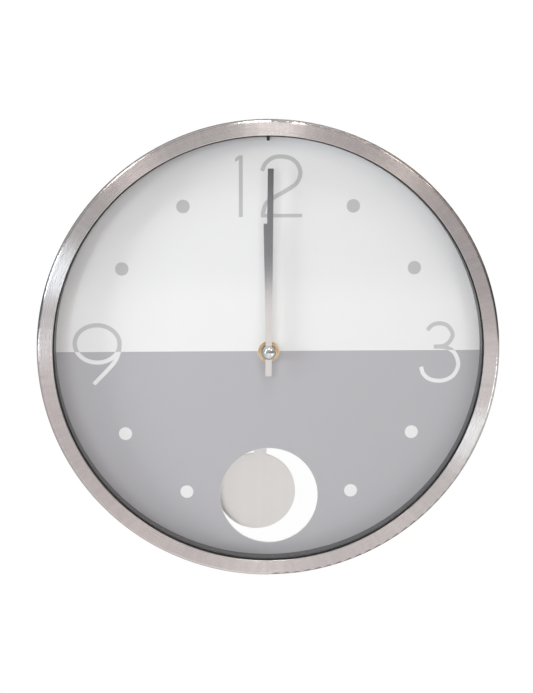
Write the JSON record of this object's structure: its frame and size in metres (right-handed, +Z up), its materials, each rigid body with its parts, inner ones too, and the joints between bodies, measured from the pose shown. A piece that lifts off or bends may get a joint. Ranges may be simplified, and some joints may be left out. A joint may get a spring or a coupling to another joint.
{
  "type": "pendulum wall clock",
  "caption": "Round wall clock with a brushed steel case, printed dial, two straight hands and a disc pendulum in a round window.",
  "frame": {"origin": "on the hand axis, in the plane of the wall that the case rests against", "axes": "+X to the right of somebody facing the clock, +Y into the wall, +Z up"},
  "size_m": [0.3, 0.042, 0.3],
  "materials": {
    "case_steel": "circular brushed stainless steel",
    "lens_glass": "clear flat mineral glass",
    "gasket_foam": "black foam",
    "black_plastic": "fine-textured black moulding",
    "dial_paint": "satin white and grey print on aluminium",
    "zinc_steel": "bright zinc-plated sheet steel",
    "screw_steel": "zinc-plated screws",
    "washer_rubber": "black rubber",
    "brass": "bright turned brass",
    "hand_metal": "fine brushed aluminium",
    "cap_chrome": "bright plated dome",
    "gear_plastic": "natural acetal",
    "rotor_ferrite": "sintered magnet",
    "soft_iron": "annealed iron sheet",
    "coil_copper": "enamelled copper wire",
    "bobbin_plastic": "natural nylon",
    "cell_wrap": "plain printed sleeve",
    "board_green": "solder mask",
    "chip_epoxy": "black epoxy",
    "pendulum_metal": "satin brushed aluminium sheet"
  },
  "bodies": {
    "clock": {"case_ring": "case_steel", "lens_gasket": "gasket_foam", "lens": "lens_glass", "spacer_ring": "black_plastic", "dial": "dial_paint", "clamp_ring": "zinc_steel", "case_tabs": "zinc_steel", "clamp_screws": "screw_steel", "hanger_bracket": "zinc_steel", "movement_housing": "black_plastic", "movement_rear_cover": "black_plastic", "cover_screws": "screw_steel", "plate_screws": "screw_steel", "train_plate": "gear_plastic", "threaded_bushing": "brass", "rubber_washer": "washer_rubber", "brass_washer": "brass", "hex_nut": "brass", "stator": "soft_iron", "coil_core": "soft_iron", "coil_bobbin": "bobbin_plastic", "coil_winding": "coil_copper", "battery": "cell_wrap", "battery_contact_positive": "zinc_steel", "battery_contact_spring": "zinc_steel", "circuit_board": "board_green", "quartz_crystal": "screw_steel", "clock_chip": "chip_epoxy", "pendulum_pivot_pin": "screw_steel", "pendulum_coil_bobbin": "bobbin_plastic", "pendulum_coil_winding": "coil_copper"},
    "minute": {"cannon_pinion": "brass", "minute_hand": "hand_metal", "hand_cap_nut": "cap_chrome"},
    "hour": {"hour_wheel": "gear_plastic", "hour_hand": "hand_metal"},
    "setting": {"motion_wheel": "gear_plastic", "setting_knob": "black_plastic"},
    "centre": {"centre_wheel": "gear_plastic"},
    "third": {"third_wheel": "gear_plastic"},
    "seconds": {"seconds_wheel": "gear_plastic"},
    "intermediate": {"intermediate_wheel": "gear_plastic"},
    "rotor": {"rotor_pinion": "gear_plastic", "rotor_magnet": "rotor_ferrite"},
    "pendulum": {"pendulum_arm": "bobbin_plastic", "arm_magnet": "rotor_ferrite", "pendulum_blade": "pendulum_metal"}
  },
  "joints": [
    {"name": "minute_turn", "type": "hinge", "parent": "clock", "child": "minute", "pos_m": [0, -0.02, 0], "axis": [0, 1, 0], "continuous": true},
    {"name": "hour_turn", "type": "hinge", "parent": "clock", "child": "hour", "pos_m": [0, -0.02, 0], "axis": [0, 1, 0], "continuous": true},
    {"name": "setting_turn", "type": "hinge", "parent": "clock", "child": "setting", "pos_m": [0.0045, -0.02, -0.00779], "axis": [0, 1, 0], "continuous": true},
    {"name": "seconds_wheel_turn", "type": "hinge", "parent": "clock", "child": "seconds", "pos_m": [0, -0.02, 0], "axis": [0, 1, 0], "continuous": true},
    {"name": "third_wheel_turn", "type": "hinge", "parent": "clock", "child": "third", "pos_m": [-0.00828, -0.02, 0], "axis": [0, 1, 0], "continuous": true},
    {"name": "centre_wheel_turn", "type": "hinge", "parent": "clock", "child": "centre", "pos_m": [0, -0.02, 0], "axis": [0, 1, 0], "continuous": true},
    {"name": "intermediate_wheel_turn", "type": "hinge", "parent": "clock", "child": "intermediate", "pos_m": [0.00555, -0.02, 0.00662], "axis": [0, 1, 0], "continuous": true},
    {"name": "rotor_turn", "type": "hinge", "parent": "clock", "child": "rotor", "pos_m": [0.01082, -0.02, 0.0047], "axis": [0, 1, 0], "continuous": true},
    {"name": "pendulum_swing", "type": "hinge", "parent": "clock", "child": "pendulum", "pos_m": [0, -0.0204, -0.015], "axis": [0, 1, 0], "range_deg": [-13.75, 2.25]}
  ],
  "couplings": [
    {"joint": "hour_turn", "follows": "minute_turn", "ratio": 0.083333},
    {"joint": "setting_turn", "follows": "minute_turn", "ratio": -0.33333},
    {"joint": "third_wheel_turn", "follows": "seconds_wheel_turn", "ratio": -0.13333},
    {"joint": "centre_wheel_turn", "follows": "seconds_wheel_turn", "ratio": 0.016667},
    {"joint": "intermediate_wheel_turn", "follows": "seconds_wheel_turn", "ratio": -5},
    {"joint": "rotor_turn", "follows": "seconds_wheel_turn", "ratio": 30}
  ]
}
